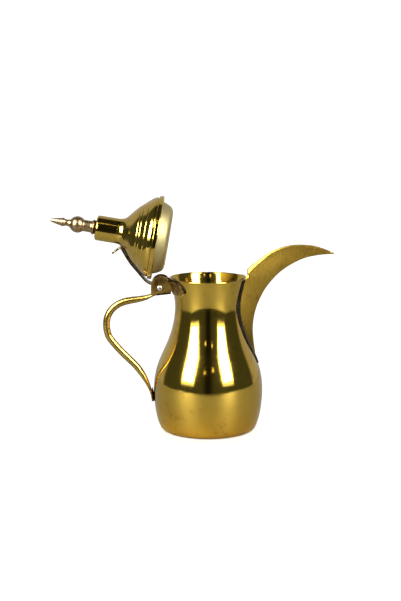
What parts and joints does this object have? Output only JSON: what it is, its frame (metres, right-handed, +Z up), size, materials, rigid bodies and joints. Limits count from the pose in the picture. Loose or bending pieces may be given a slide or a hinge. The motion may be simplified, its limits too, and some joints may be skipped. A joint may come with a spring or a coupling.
{
  "type": "dallah coffee pot",
  "caption": "Small brass dallah coffee pot: pear-shaped spun body, open crescent spout, curved rod handle and a hinged spire lid.",
  "frame": {"origin": "centre of the base, on the pot's axis, at the surface it stands on", "axes": "+Z up; +X from the pot's axis towards the spout; +Y across the pot"},
  "size_m": [0.2085, 0.0814, 0.1747],
  "materials": {
    "pot_brass": "polished spun brass, lightly hazed by handling and tarnish",
    "spout_brass": "satin brushed sheet brass",
    "bracket_brass": "folded sheet brass, tarnished brown at the bends",
    "handle_brass": "drawn rod, hammered flat at both ends, semi-polished",
    "lid_brass": "polished spun brass with turned grooves",
    "finial_brass": "turned cast brass, paler and pinker than the sheet",
    "strap_brass": "sheet brass, dark and worn at its edges",
    "solder": "soft solder and flux, blackened",
    "pin_metal": "peened white-metal pin, dull bright"
  },
  "bodies": {
    "pot": {"body_shell": "pot_brass", "base_disc": "pot_brass", "base_solder": "solder", "spout_near_cheek": "spout_brass", "spout_far_cheek": "spout_brass", "spout_keel_braze": "solder", "spout_solder": "solder", "hinge_bracket": "bracket_brass", "bracket_solder": "solder", "hinge_pin": "pin_metal", "handle_rod": "handle_brass", "handle_foot_solder": "solder", "handle_top_solder": "solder"},
    "lid": {"lid_dome": "lid_brass", "lid_pan": "lid_brass", "lid_strap": "strap_brass", "strap_rivets": "strap_brass", "finial": "finial_brass", "finial_collar": "solder", "finial_washer": "finial_brass"}
  },
  "joints": [
    {"name": "lid_hinge", "type": "hinge", "parent": "pot", "child": "lid", "pos_m": [-0.0356, 0, 0.1074], "axis": [0, 1, 0], "range_deg": [0, 80.5]}
  ]
}
